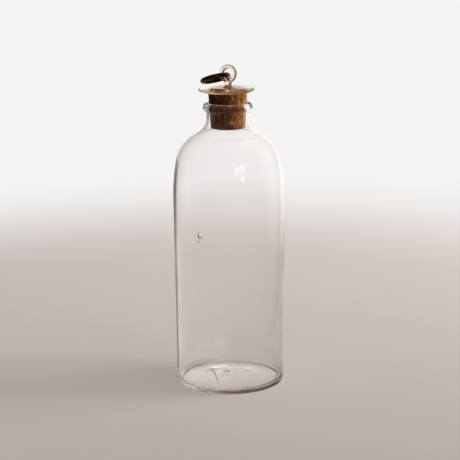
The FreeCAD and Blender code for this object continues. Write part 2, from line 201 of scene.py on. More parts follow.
WALL = 1.65
FOOT_TAPER = 0.75                   # how much narrower the foot is than the widest part
HEEL = 2.2
FOOT_WIDTH = 4.5                    # of the flat ring that it stands on
PUSH_UP = 2.0
FLOOR = 2.0
FLOOR_CORNER = 3.0
FLANK = 123.0
FLANK_RISE = 23.5
SHOULDER = 23.1
NECK_HOLLOW = 11.8
NECK_LENGTH = 2.8
BORE = 11.7
BEAD = 3.0
MOUTH_ROUND = 0.85
PONTIL_RADIUS = 5.5
PONTIL_BEAD = 0.22
GLASS_SEGMENTS = 224
LEAN_ROUNDS = 20                    # enough for the lean to settle
FLOOR_STEP = 0.6                    # a step is the longest distance between two points of a run
FOOT_STEP = 0.75
HEEL_STEP = 0.25
WALL_STEP = 1.8
FLANK_STEP = 1.2
SHOULDER_STEP = 0.8
NECK_STEP = 0.6
COLLAR_STEP = 0.5
BEAD_STEP = 0.22
MOUTH_STEP = 0.15
CORNER_STEP = 0.3


def bottle_outline():
    """Half section of the bottle. Returns the points and how many of them are outside."""
    radius = BOTTLE_HIGH.x
    height = BOTTLE_HIGH.z
    neck = BORE + WALL
    foot = radius - FOOT_TAPER - HEEL
    bead_middle = (BORE + MOUTH_ROUND, height - BEAD)
    bead_turn = acos((WALL - MOUTH_ROUND) / BEAD)
    neck_low = bead_middle[1] - BEAD * sin(bead_turn) - NECK_LENGTH

    # the wall leans out by the taper, and each curve starts where the one under it ends
    lean = FOOT_TAPER / neck_low
    for _ in range(LEAN_ROUNDS):
        flank_turn = asin(FLANK_RISE / FLANK - sin(lean))
        shoulder_x = radius - FLANK * cos(lean) + (FLANK - SHOULDER) * cos(flank_turn)
        shoulder_turn = acos((neck + NECK_HOLLOW - shoulder_x) / (NECK_HOLLOW + SHOULDER))
        shoulder_z = neck_low - (NECK_HOLLOW + SHOULDER) * sin(shoulder_turn)
        wall_top = shoulder_z - FLANK * sin(lean) - (FLANK - SHOULDER) * sin(flank_turn)
        wall_length = (wall_top - HEEL + HEEL * sin(lean)) / cos(lean)
        lean = asin((radius - foot - HEEL * cos(lean)) / wall_length)
    shoulder_middle = (shoulder_x, shoulder_z)
    flank_middle = (radius - FLANK * cos(lean), wall_top + FLANK * sin(lean))
    hollow_middle = (neck + NECK_HOLLOW, neck_low)
    mouth_middle = (BORE + MOUTH_ROUND, height - MOUTH_ROUND)
    heel_middle = (foot, HEEL)
    corner_middle = (foot + HEEL - WALL - FLOOR_CORNER, FLOOR + FLOOR_CORNER)

    def dome(rim, rise, step):
        """An arc over the axis, from a rim point up to a height on the axis."""
        r = (rim[0] ** 2 + (rise - rim[1]) ** 2) / (2 * (rise - rim[1]))
        return arc((0, rise - r), r, pi / 2 - asin(rim[0] / r), pi / 2, step)

    under = dome((foot - FOOT_WIDTH, 0), PUSH_UP, FLOOR_STEP)[::-1]
    inner_dome = dome((corner_middle[0], FLOOR), PUSH_UP + FLOOR, FLOOR_STEP)
    corner_end = -pi / 2 - atan2(PUSH_UP, corner_middle[0]) * 2
    outside = chain(
        under,
        straight((foot - FOOT_WIDTH, 0), (foot, 0), FOOT_STEP),
        arc(heel_middle, HEEL, -pi / 2, -lean, HEEL_STEP),
        straight(on(heel_middle, HEEL, -lean), on(flank_middle, FLANK, -lean), WALL_STEP),
        arc(flank_middle, FLANK, -lean, flank_turn, FLANK_STEP),
        arc(shoulder_middle, SHOULDER, flank_turn, shoulder_turn, SHOULDER_STEP),
        arc(hollow_middle, NECK_HOLLOW, pi + shoulder_turn, pi, NECK_STEP),
        straight((neck, neck_low), on(bead_middle, BEAD, -bead_turn), COLLAR_STEP),
        arc(bead_middle, BEAD, -bead_turn, pi / 2, BEAD_STEP),
    )
    wall_end = on(flank_middle, FLANK - WALL, -lean)
    inside = chain(
        arc(mouth_middle, MOUTH_ROUND, pi / 2, pi, MOUTH_STEP),
        straight((BORE, height - MOUTH_ROUND), (BORE, neck_low), NECK_STEP),
        arc(hollow_middle, NECK_HOLLOW + WALL, pi, pi + shoulder_turn, NECK_STEP),
        arc(shoulder_middle, SHOULDER - WALL, shoulder_turn, flank_turn, SHOULDER_STEP),
        arc(flank_middle, FLANK - WALL, flank_turn, -lean, FLANK_STEP),
        straight(wall_end, on(corner_middle, FLOOR_CORNER, -lean), WALL_STEP),
        arc(corner_middle, FLOOR_CORNER, -lean, corner_end, CORNER_STEP),
        inner_dome,
    )
    return chain(outside, inside), len(outside)


def on(middle, radius, angle):
    """The point at an angle on a circle of the half section."""
    return (middle[0] + radius * cos(angle), middle[1] + radius * sin(angle))


# Marks that the blowing left: long soft waves in the wall, seeds of air, the rough scar of
# the pontil under the bottom and one crease across the floor

WAVE_OUTSIDE = 0.10
WAVE_INSIDE = 0.16
WAVE_LUMPS = 1.1
WAVE_LENGTH = 48
WAVE_SHARE = 0.35
RIPPLE_LUMPS = 3.1
RIPPLE_LENGTH = 70
RIPPLE_SHARE = 0.25
WAVE_LEVELS = (0, 4)                # of the wave and the ripple outside
INNER_LEVELS = (9, 15)
WAVE_RADII = (15, 28)
INNER_WAVE_RADII = (12.5, 26)
CREASE = (Vector((-12.0, 8.0)), Vector((-6.8, -25.5)))
CREASE_DEPTH = 0.70
CREASE_WIDTH = 0.62
CREASE_END = (24, 26)
SCAR_PLACE = Vector((-2.4, 3.0))
SCAR_RADIUS = 1.6
SCAR_WIDTH = 0.55
SCAR_HEIGHT = 0.8
SCAR_GRAIN = 1.3
SCAR_LEVEL = 8.0
SCAR_PART = (0.35, 1.3)
FLOOR_WAVE = 0.22
FLOOR_WAVE_LENGTH = 9
FLOOR_WAVE_LEVEL = 5.0
FLOOR_WAVE_END = (19, 25)
FLOOR_MARGIN = 1                    # the floor is looked for as far above its middle
HEEL_WAVE = 0.45
HEEL_PART = (0.5, 0.6)
HEEL_MARGIN = 1
HEEL_PATTERN = (3.6, 21.0)
HEEL_RADII = (27, 31)
HEEL_HEIGHTS = (0.3, 4.5)
HEEL_GROWTH = 0.42                  # how much sharper the heel is at its left
HEEL_RIPPLE = 0.30
HEEL_RIPPLE_PATTERN = (9.0, 27.0)
HEEL_LEFT = (-0.05, 0.5)            # shares of the way round to the left
LIP_HEIGHTS = (7, 4)                # under the top
LIP_DENT = 0.12
LIP_DENT_PATTERN = (1.3, 31.0)
LIP_SAG = 0.16
LIP_SAG_PATTERN = (0.9, 37.0)
PONTIL_PATTERN = (1.3, 3.0)
PONTIL_PART = (0.35, 1.2)
PONTIL_LEAST = 0.05
PONTIL_STEEP = 0.8
UNDER_MARGIN = 0.5
SEEDS = [
    # turn from the front towards the left in degrees, height, half width, half height
    (31.8, 101.4, 1.45, 1.90),
    (33.6, 97.6, 0.80, 0.80),
    (-41.0, 61.0, 0.20, 0.34),
    (12.0, 128.0, 0.16, 0.26),
    (118.0, 84.0, 0.24, 0.40),
    (-150.0, 112.0, 0.20, 0.30),
    (165.0, 47.0, 0.18, 0.34),
]
SEED_DEPTH = 0.42                   # of its half width
SEED_DEEPEST = 0.4                  # of the wall
SEED_LEAN = 0.12
SEED_RINGS = 14
SEED_SEGMENTS = 24


def near_line(point, line):
    """Distance from a point to a stretch of line, in one plane."""
    start, end = line
    along = end - start
    t = min(1.0, max(0.0, (point - start).dot(along) / along.length_squared))
    return (point - start - along * t).length


def wall_wave(z, turn, levels):
    """Depth of the long soft waves, as a share of the deepest one."""
    wave = noise_round(turn, WAVE_LUMPS, z / WAVE_LENGTH + levels[0])
    ripple = noise_round(turn, RIPPLE_LUMPS, z / RIPPLE_LENGTH + levels[1])
    return 0.5 + WAVE_SHARE * wave + RIPPLE_SHARE * ripple


def marked_outside(r, z, turn):
    """Radius and height of a point outside, with the marks there."""
    top = BOTTLE_HIGH.z
    heel_x = BOTTLE_HIGH.x - FOOT_TAPER - HEEL
    r -= WAVE_OUTSIDE * wall_wave(z, turn, WAVE_LEVELS) * fade(r, *WAVE_RADII)
    heel = fade(r, *HEEL_RADII) * fall(z, *HEEL_HEIGHTS)
    worn = HEEL_PART[0] + HEEL_PART[1] * noise_round(turn, *HEEL_PATTERN)
    r -= HEEL_WAVE * heel * worn
    if r > heel_x - HEEL_MARGIN and z < HEEL:
        slant = atan2(z - HEEL, max(0.0, r - heel_x))
        ripple = noise_round(turn, *HEEL_RIPPLE_PATTERN)
        grow = (HEEL_GROWTH + HEEL_RIPPLE * ripple) * sin(2 * slant) ** 2
        grow *= fade(-sin(turn), *HEEL_LEFT)
        r += grow * cos(slant)
        z += grow * sin(slant)
    lip = fade(z, top - LIP_HEIGHTS[0], top - LIP_HEIGHTS[1])
    r -= LIP_DENT * lip * half(noise_round(turn, *LIP_DENT_PATTERN))
    z -= LIP_SAG * lip * half(noise_round(turn, *LIP_SAG_PATTERN))
    if z < PUSH_UP + UNDER_MARGIN:
        bead = (r - PONTIL_RADIUS) / PONTIL_BEAD
        rough = PONTIL_PART[0] + PONTIL_PART[1] * noise_round(turn, *PONTIL_PATTERN)
        z -= PONTIL_BEAD * exp(-bead * bead * PONTIL_STEEP) * max(PONTIL_LEAST, rough)
    return r, z


def marked_inside(r, z, turn):
    """Radius and height of a point inside, with the marks there."""
    depth = wall_wave(z, turn, INNER_LEVELS)
    r += WAVE_INSIDE * (depth - 0.5) * fade(r, *INNER_WAVE_RADII)
    if z < PUSH_UP + FLOOR + FLOOR_MARGIN:
        spot = Vector((r * sin(turn), -r * cos(turn)))
        ridge = near_line(spot, CREASE) / CREASE_WIDTH
        z -= CREASE_DEPTH * exp(-ridge * ridge) * fall(r, *CREASE_END)
        scar = ((spot - SCAR_PLACE).length - SCAR_RADIUS) / SCAR_WIDTH
        grain = noise_at(spot.x / SCAR_GRAIN, spot.y / SCAR_GRAIN, SCAR_LEVEL)
        broken = max(0.0, SCAR_PART[0] + SCAR_PART[1] * grain)
        z += SCAR_HEIGHT * broken * exp(-scar * scar)
        wave = noise_at(spot.x / FLOOR_WAVE_LENGTH, spot.y / FLOOR_WAVE_LENGTH, FLOOR_WAVE_LEVEL)
        z += FLOOR_WAVE * wave * fall(r, *FLOOR_WAVE_END)
    return r, z


def bottle_point(outside_count):
    def place(number, r, z, turn):
        marked = marked_outside if number < outside_count else marked_inside
        r, z = marked(r, z, turn)
        return (r * sin(turn), -r * cos(turn), z)

    return place


def seed(turn, height, half_width, half_height, wall_middle):
    """A closed bubble of air inside the wall, its faces turned to the air."""
    a = -radians(turn)
    out = Vector((sin(a), -cos(a), 0))
    side = Vector((cos(a), sin(a), 0))
    up = (Vector((0, 0, 1)) + side * SEED_LEAN).normalized()
    middle = out * wall_middle + Vector((0, 0, height))
    depth = min(half_width * SEED_DEPTH, WALL * SEED_DEEPEST)
    verts = []
    for ring in range(1, SEED_RINGS):
        v = pi * ring / SEED_RINGS
        for k in range(SEED_SEGMENTS):
            u = tau * k / SEED_SEGMENTS
            verts.append(middle + out * depth * sin(v) * cos(u)
                         + side * half_width * sin(v) * sin(u) + up * half_height * cos(v))
    verts += [middle + up * half_height, middle - up * half_height]

    def at(ring, k):
        return ring * SEED_SEGMENTS + k % SEED_SEGMENTS

    faces = tube_faces(SEED_RINGS - 1, SEED_SEGMENTS)
    last = SEED_RINGS - 2
    north = len(verts) - 2
    faces += [(north, at(0, k + 1), at(0, k)) for k in range(SEED_SEGMENTS)]
    faces += [(north + 1, at(last, k), at(last, k + 1)) for k in range(SEED_SEGMENTS)]
    return verts, faces


def make_bottle(glass):
    outline, outside_count = bottle_outline()
    verts, faces = turned(outline, GLASS_SEGMENTS, bottle_point(outside_count))
    for turn, height, half_width, half_height in SEEDS:
        taper = FOOT_TAPER * (1 - height / BOTTLE_HIGH.z)
        wall_middle = BOTTLE_HIGH.x - taper - WALL * 0.5
        more, more_faces = seed(turn, height, half_width, half_height, wall_middle)
        first = len(verts)
        verts += more
        faces += [tuple(first + i for i in face) for face in more_faces]
    bottle = new_piece("bottle_glass_blown", verts, faces, glass)
    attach(bottle, "bottle")
    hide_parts("glass_bottle")


# Cork

CORK_SEGMENTS = 288
CORK_STEP = 0.16
CORK_EDGE = 0.5
CORK_TAPER = radians(3.55)
CORK_INSET = 0.03                   # keeps the worn upper edge inside the solid's
CORK_FACE_STEP = 0.5
CORK_EDGE_STEP = 0.12
CORK_SEED = 7
CRACKS = 46
CRACK_MARGIN = 1.0                  # from the cork's ends
CRACK_HALF_HEIGHT = (0.5, 1.9)      # the least and the most, as in the next lines
CRACK_HALF_WIDTH = (0.10, 0.24)
CRACK_DEPTH = (0.12, 0.42)
CRACK_ENDS = 1.5                    # how much steeper its ends are than its sides
CRACK_HEIGHT_REACH = 1.6
CHIPS = 60
CHIP_SIZE = (0.25, 0.8)
CHIP_DEPTH = (0.06, 0.3)
CHIP_HEIGHT_REACH = 2.5
MARK_REACH = 3                      # half widths beyond which a mark has faded out
GRAIN_WIDTH = 1.1                   # marks for each millimetre across and along the grain
GRAIN_HEIGHT = 0.28
CRUMB = 2.3
SKIN_DEPTH = 0.05
SKIN_RADII = (6, 11)                # the skin's relief fades in between them
FACE_BAND = 0.1                     # points this near a flat end belong to it
FACE_WEAR = 0.04
FACE_DENTS = ((0.10, 0.9), (0.05, 2.7))  # depth, and dents for each millimetre
GLUE_RADIUS = 3.6                   # the cork's top touches the disc inside this radius
GLUE_REACH = 9.6                    # and in spots as far as this
GLUE_SPOTS = 0.8
GLUE_SPOT_EDGE = (-0.10, 0.04)
GLUE_DEPTH = 0.07
GLUE_GAP = 0.01
GRIP = 0.07                         # how far the skin reaches into the mouth that squeezes it
GRIP_HIGH = BOTTLE_HIGH.z - 1.6
GRIP_LOW = BOTTLE_HIGH.z - 4.6
GRIP_ABOVE = 0.5
GRIP_BELOW = 1.2
GRIP_FROM = radians(-52)            # it does so from here to there, turned from the front
GRIP_TO = radians(42)
GRIP_EDGE = radians(28)


def cork_outline():
    top_radius = CORK_HIGH.x
    height = CORK_HIGH.z - CORK_LOW.z
    foot_radius = top_radius - height * sin(CORK_TAPER) / cos(CORK_TAPER)
    low = (foot_radius - CORK_EDGE, CORK_EDGE)
    high = (top_radius - CORK_EDGE - CORK_INSET, height - CORK_EDGE)
    return chain(
        straight((0, 0), (low[0], 0), CORK_FACE_STEP),
        arc(low, CORK_EDGE, -pi / 2, -CORK_TAPER, CORK_EDGE_STEP),
        straight(on(low, CORK_EDGE, -CORK_TAPER), on(high, CORK_EDGE, -CORK_TAPER), CORK_STEP),
        arc(high, CORK_EDGE, -CORK_TAPER, pi / 2, CORK_EDGE_STEP),
        straight((high[0], height), (0, height), CORK_FACE_STEP),
    )


def cork_skin():
    """How deep the cork is cut at a radius, height and turn: by short cracks, chips at both
    edges and upright grain."""
    dice = random.Random(CORK_SEED)
    height = CORK_HIGH.z - CORK_LOW.z
    cracks = [(dice.uniform(0, tau), dice.uniform(CRACK_MARGIN, height - CRACK_MARGIN),
               dice.uniform(*CRACK_HALF_HEIGHT), dice.uniform(*CRACK_HALF_WIDTH),
               dice.uniform(*CRACK_DEPTH)) for _ in range(CRACKS)]
    chips = [(dice.choice((0.0, height)), dice.uniform(0, tau), dice.uniform(*CHIP_SIZE),
              dice.uniform(*CHIP_DEPTH)) for _ in range(CHIPS)]

    def round_to(turn, where, r):
        """Way along the skin from a mark to a point."""
        return ((turn - where + pi) % tau - pi) * r

    def depth_at(r, z, turn):
        across = Vector((cos(turn) * r, sin(turn) * r, z))
        grain = noise_at(across.x * GRAIN_WIDTH, across.y * GRAIN_WIDTH, z * GRAIN_HEIGHT)
        crumb = noise.noise(across * CRUMB)
        depth = SKIN_DEPTH + SKIN_DEPTH * grain + SKIN_DEPTH * max(0.0, crumb)
        for where, middle, half_height, half_width, deep in cracks:
            dz = (z - middle) / half_height
            if abs(dz) > CRACK_HEIGHT_REACH:
                continue
            da = round_to(turn, where, r) / half_width
            if abs(da) < MARK_REACH:
                depth += deep * exp(-da * da - dz * dz * CRACK_ENDS)
        for level, where, size, deep in chips:
            if abs(z - level) > CHIP_HEIGHT_REACH:
                continue
            da = round_to(turn, where, r) / size
            dz = (z - level) / size
            if abs(da) < MARK_REACH:
                depth += deep * exp(-da * da - dz * dz)
        return depth

    return depth_at


def make_cork(material):
    """A worn taper whose top touches the disc in spots and whose side is squeezed by the mouth."""
    height = CORK_HIGH.z - CORK_LOW.z
    skin = cork_skin()

    def place(number, r, z, turn):
        edge = fade(r, *SKIN_RADII)
        depth = skin(r, z, turn) if r > SKIN_RADII[0] else 0.0
        spot = Vector((cos(turn) * r, sin(turn) * r, z))
        flat = FACE_WEAR
        for deep, scale in FACE_DENTS:
            flat += deep * max(0.0, noise.noise(spot * scale))
        if z < FACE_BAND:
            z += flat
        elif z > height - FACE_BAND:
            spots = fade(noise.noise(spot * GLUE_SPOTS), *GLUE_SPOT_EDGE)
            spots *= fall(r, GLUE_REACH, GLUE_REACH + 1)
            glued = max(spots, fall(r, GLUE_RADIUS, GLUE_RADIUS + 1))
            z += glued * GLUE_DEPTH - (1 - glued) * GLUE_GAP - 0.5 * flat
        r -= depth * edge
        z += CORK_LOW.z
        way = (turn + pi) % tau - pi
        level = fade(z, GRIP_LOW - GRIP_BELOW, GRIP_LOW)
        level *= fall(z, GRIP_HIGH, GRIP_HIGH + GRIP_ABOVE)
        side = fade(way, GRIP_FROM - GRIP_EDGE, GRIP_FROM)
        side *= fall(way, GRIP_TO, GRIP_TO + GRIP_EDGE)
        r += (BORE + GRIP - r) * (level * edge * side)
        return (r * sin(turn), -r * cos(turn), z)

    verts, faces = turned(cork_outline(), CORK_SEGMENTS, place)
    cork = new_piece("cork_body_worn", verts, faces, material)
    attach(cork, "stopper")
    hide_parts("cork_stopper")


# Glass lid: disc, ball and loop

LID_MIDDLE = (LID_LOW.x + LID_HIGH.x) / 2
DISC_RADIUS = 17.4
DISC_THICKNESS = 1.85
RIM_ROUND = 0.85
RIM_FALL = 0.50                     # how far the disc's top falls towards its rim
RIM_FALL_START = 5.0
RIM_WOBBLE = 0.16
RIM_PATTERN = (1.4, 12.0)
RIM_WOBBLE_WIDTH = 3
SHIFT_MARGIN = 2                    # from the rim, where the form's middle has become the disc's
DISC_WAVE_PART = (0.07, 0.10)
DISC_WAVE_LENGTH = 7
DISC_WAVE_LEVEL = 3.0
DISC_WAVE_START = 3                 # from the ball's foot, where it is complete
KNOB = 2.2
KNOB_RISE = 3.0
FLARE = 1.9
LOOP_OFFSET = 1.15                  # ball and loop stand to the right of the disc's middle
LOOP_ROD = 1.4
LOOP_HALF_WIDTH = 3.95
LOOP_HALF_HEIGHT = 4.38
LOOP_THINNING = 0.05
LOOP_LUMPS = 1.2
LOOP_LEVEL = 6.0
LID_SEGMENTS = 192
ROD_SEGMENTS = 40
LOOP_SEGMENTS = 150
KNOB_STEP = 0.16
DISC_STEP = 0.45
RIM_STEP = 0.12


def lid_outline():
    """Half section of disc and ball, from the ball's top down to the disc's lower face."""
    ball_z = DISC_THICKNESS + KNOB_RISE
    flare_z = DISC_THICKNESS + FLARE
    flare_x = sqrt((KNOB + FLARE) ** 2 - (ball_z - flare_z) ** 2)
    meet = asin((flare_z - ball_z) / (KNOB + FLARE))
    rim = DISC_RADIUS - RIM_ROUND
    return chain(
        arc((0, ball_z), KNOB, pi / 2, meet, KNOB_STEP),
        arc((flare_x, flare_z), FLARE, pi + meet, 3 * pi / 2, KNOB_STEP),
        straight((flare_x, DISC_THICKNESS), (rim, DISC_THICKNESS), DISC_STEP),
        arc((rim, DISC_THICKNESS - RIM_ROUND), RIM_ROUND, pi / 2, 0, RIM_STEP),
        arc((rim, RIM_ROUND), RIM_ROUND, 0, -pi / 2, RIM_STEP),
        straight((rim, 0), (0, 0), DISC_STEP),
    )[::-1], flare_x


def make_disc(glass, loop_x):
    """Disc and ball are one turned form whose middle moves from the disc's to the ball's."""
    disc_shift = LID_MIDDLE - loop_x
    outline, flare_x = lid_outline()

    def place(number, r, z, turn):
        spread = fade(r, flare_x, DISC_RADIUS - SHIFT_MARGIN) if z > DISC_THICKNESS / 2 else 1.0
        shift = disc_shift * spread
        rim = fade(r, DISC_RADIUS - RIM_WOBBLE_WIDTH, DISC_RADIUS)
        r -= RIM_WOBBLE * rim * half(noise_round(turn, *RIM_PATTERN))
        spot = Vector((r * sin(turn) + shift, -r * cos(turn), z))
        if z > DISC_THICKNESS / 2 and r > flare_x:
            wave = noise_at(spot.x / DISC_WAVE_LENGTH, spot.y / DISC_WAVE_LENGTH, DISC_WAVE_LEVEL)
            hollow = DISC_WAVE_PART[0] + DISC_WAVE_PART[1] * wave
            hollow *= fade(r, flare_x, flare_x + DISC_WAVE_START)
            outer = max(0.0, r - RIM_FALL_START) / (DISC_RADIUS - RIM_FALL_START)
            upper = 2 * z / DISC_THICKNESS - 1
            z -= upper * (RIM_FALL * outer ** 2 + hollow)
        return (spot.x + loop_x, spot.y, z + LID_LOW.z)

    verts, faces = turned(outline, LID_SEGMENTS, place)
    return new_piece("glass_lid_melted", verts, faces, glass)


def make_loop(glass, loop_x, middle_z):
    """An upright oval of round rod."""
    verts = []
    for i in range(LOOP_SEGMENTS):
        a = tau * i / LOOP_SEGMENTS
        right = loop_x + LOOP_HALF_WIDTH * sin(a)
        centre = Vector((right, 0, middle_z - LOOP_HALF_HEIGHT * cos(a)))
        ahead = Vector((LOOP_HALF_WIDTH * cos(a), 0, LOOP_HALF_HEIGHT * sin(a))).normalized()
        out = Vector((ahead.z, 0, -ahead.x))
        lump = noise.noise(Vector((sin(a), cos(a), LOOP_LEVEL)) * LOOP_LUMPS)
        thin = 1.0 - LOOP_THINNING * half(lump)
        for k in range(ROD_SEGMENTS):
            b = tau * k / ROD_SEGMENTS
            verts.append(centre + (out * cos(b) + Vector((0, 1, 0)) * sin(b)) * LOOP_ROD * thin)
    faces = tube_faces(LOOP_SEGMENTS, ROD_SEGMENTS, closed=True)
    return new_piece("loop_rod", verts, faces, glass)


def make_lid(glass):
    loop_x = LID_MIDDLE + LOOP_OFFSET
    middle_z = LID_HIGH.z - LOOP_ROD - LOOP_HALF_HEIGHT
    lid = make_disc(glass, loop_x)
    join_glass(lid, make_loop(glass, loop_x, middle_z))
    soften_weld(lid, loop_x, middle_z - LOOP_HALF_HEIGHT)
    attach(lid, "stopper")
    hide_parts("glass_lid")


def outward(piece):
    """Turns every face of a closed mesh to the outside."""
    bm = bmesh.new()
    bm.from_mesh(piece.data)
    bmesh.ops.recalc_face_normals(bm, faces=bm.faces)
    bm.to_mesh(piece.data)
    bm.free()


def join_glass(base, added):
    """Melts one closed glass form into another, so no wall is left inside."""
    for piece in (base, added):
        outward(piece)
    union = base.modifiers.new("melt", "BOOLEAN")
    union.operation = "UNION"
    union.solver = "EXACT"
    union.object = added
    apply_modifiers(base)
    bpy.data.objects.remove(added)


def apply_modifiers(piece):
    depsgraph = bpy.context.evaluated_depsgraph_get()
    mesh = bpy.data.meshes.new_from_object(piece.evaluated_get(depsgraph))
    piece.modifiers.clear()
    old = piece.data
    piece.data = mesh
    bpy.data.meshes.remove(old)
    shade_smooth(mesh)


WELD_REACH = 2.3
WELD_ROUNDS = 10
WELD_ANGLE = radians(14)
WELD_MERGE = 0.01


def soften_weld(piece, x, z):
    """Rounds the crease where rod and ball melted together."""
    middle = Vector((x, 0, z)) * MM
    bm = bmesh.new()
    bm.from_mesh(piece.data)
    bmesh.ops.remove_doubles(bm, verts=bm.verts, dist=WELD_MERGE * MM)
    for _ in range(WELD_ROUNDS):
        sharp = set()
        for edge in bm.edges:
            near = (edge.verts[0].co - middle).length < WELD_REACH * MM
            if near and len(edge.link_faces) == 2 and edge.calc_face_angle(0.0) > WELD_ANGLE:
                sharp.update(edge.verts)
        ring = {v for s in sharp for e in s.link_edges for v in e.verts}
        bmesh.ops.smooth_vert(bm, verts=list(ring), factor=0.5,
                              use_axis_x=True, use_axis_y=True, use_axis_z=True)
    bm.to_mesh(piece.data)
    bm.free()
    shade_smooth(piece.data)


# Metal ring

RING_RADIUS = 8.2
RING_WIRE = 1.4
RING_DROOP = radians(12.0)
SEAM_GAP = 0.1
SEAM_TURN = radians(115.0)
RING_SEGMENTS = 260
WIRE_SEGMENTS = 48
SEAM_ROUND = 0.28
WIRE_LUMPS = 0.035
WIRE_LUMP_SCALES = (2.2, 0.8)       # round the ring and round the wire
WIRE_DENTS = 0.03
WIRE_DENT_SCALES = (9.0, 1.7)
WIRE_DENT_SHIFT = Vector((5, 0, 0))


def make_ring(material):
    """Round wire bent until its ends meet, a little flat and dented where it has been bent."""
    axis = Vector(RING_HINGE["axis"]).normalized()
    hinge = Vector(RING_HINGE["pos_m"]) / MM
    forward = axis * -1 if axis.y > 0 else axis.copy()
    raised = Vector((-1, 0, 0)).cross(forward).normalized()
    if raised.z < 0:
        raised.negate()
    outward_way = Vector((-1, 0, 0)) * cos(RING_DROOP) - raised * sin(RING_DROOP)
    middle = hinge + outward_way * RING_RADIUS
    to_seam = outward_way * -cos(SEAM_TURN) - forward * sin(SEAM_TURN)
    normal = outward_way.cross(forward).normalized()
    sideways = normal.cross(to_seam)
    half_gap = SEAM_GAP / 2 / RING_RADIUS
    sweep = tau - 2 * half_gap

    verts = []
    for i in range(RING_SEGMENTS + 1):
        a = half_gap + sweep * (i / RING_SEGMENTS)
        out = to_seam * cos(a) + sideways * sin(a)
        from_end = min(a - half_gap, tau - half_gap - a) * RING_RADIUS
        end = sqrt(max(0.0, 1 - (1 - min(1.0, from_end / SEAM_ROUND)) ** 2))
        full = RING_WIRE - SEAM_ROUND * (1 - end)
        for k in range(WIRE_SEGMENTS):
            b = tau * k / WIRE_SEGMENTS
            way = out * cos(b) + normal * sin(b)
            lump = noise.noise(out * WIRE_LUMP_SCALES[0] + way * WIRE_LUMP_SCALES[1])
            dent = noise.noise(out * WIRE_DENT_SCALES[0] + way * WIRE_DENT_SCALES[1]
                               + WIRE_DENT_SHIFT)
            r = full - WIRE_LUMPS * half(lump) - WIRE_DENTS * max(0.0, dent)
            verts.append(middle + out * RING_RADIUS + way * r)
    faces = tube_faces(RING_SEGMENTS + 1, WIRE_SEGMENTS)
    faces.append(tuple(range(WIRE_SEGMENTS))[::-1])
    faces.append(tuple(RING_SEGMENTS * WIRE_SEGMENTS + k for k in range(WIRE_SEGMENTS)))
    ring = new_piece("metal_ring_wire", verts, faces, material)
    outward(ring)
    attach(ring, "ring")
    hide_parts("metal_ring")


# Materials

def new_material(name):
    """An empty material, its node tree and the places on its object."""
    material = bpy.data.materials.new(name)
    material.use_nodes = True
    tree = material.node_tree
    tree.nodes.clear()
    return material, tree, tree.nodes.new("ShaderNodeTexCoord").outputs["Object"]


def add(tree, kind, **inputs):
    """A node with some of its sockets set by name."""
    node = tree.nodes.new(kind)
    for key, value in inputs.items():
        node.inputs[key.replace("_", " ")].default_value = value
    return node


def wire(tree, *links):
    for source, target in links:
        tree.links.new(source, target)


def noise_of(tree, coords, scale, detail=4.0, roughness=0.5, stretch=(1, 1, 1)):
    """Noise in object space, in marks for each millimetre, stretched by a scale vector."""
    mapping = tree.nodes.new("ShaderNodeMapping")
    mapping.inputs["Scale"].default_value = [scale * s / MM for s in stretch]
    texture = add(tree, "ShaderNodeTexNoise", Scale=1.0, Detail=detail, Roughness=roughness)
    wire(tree, (coords, mapping.inputs["Vector"]),
         (mapping.outputs["Vector"], texture.inputs["Vector"]))
    return texture.outputs["Fac"]


def ramp(tree, factor, *stops):
    """The colour that a ramp gives, with stops of place and colour."""
    node = tree.nodes.new("ShaderNodeValToRGB")
    elements = node.color_ramp.elements
    while len(elements) < len(stops):
        elements.new(0.5)
    for element, (place, colour) in zip(elements, stops):
        element.position = place
        element.color = (*colour, 1)
    wire(tree, (factor, node.inputs["Fac"]))
    return node.outputs["Color"]


def grey(value):
    return (value, value, value)


def bump(tree, height, distance, strength=1.0, under=None):
    node = add(tree, "ShaderNodeBump", Strength=strength, Distance=distance * MM)
    wire(tree, (height, node.inputs["Height"]))
    if under is not None:
        wire(tree, (under, node.inputs["Normal"]))
    return node.outputs["Normal"]


def finish_material(tree, shader, volume=None):
    output = tree.nodes.new("ShaderNodeOutputMaterial")
    wire(tree, (shader, output.inputs["Surface"]))
    if volume is not None:
        wire(tree, (volume, output.inputs["Volume"]))


GLASS_IOR = 1.5
BOTTLE_LOSS = (5.0, 6.5, 6.5)       # of red, green and blue light on a metre of this glass
LID_LOSS = (5.0, 11.0, 23.0)
SHADOW_TINT = (0.955, 0.945, 0.940)
BOTTLE_WAVE = 0.06                  # how deep its drawn surface seems
LID_WAVE = 0.03
SMEAR = 0.035                       # roughness where the glass is least clean


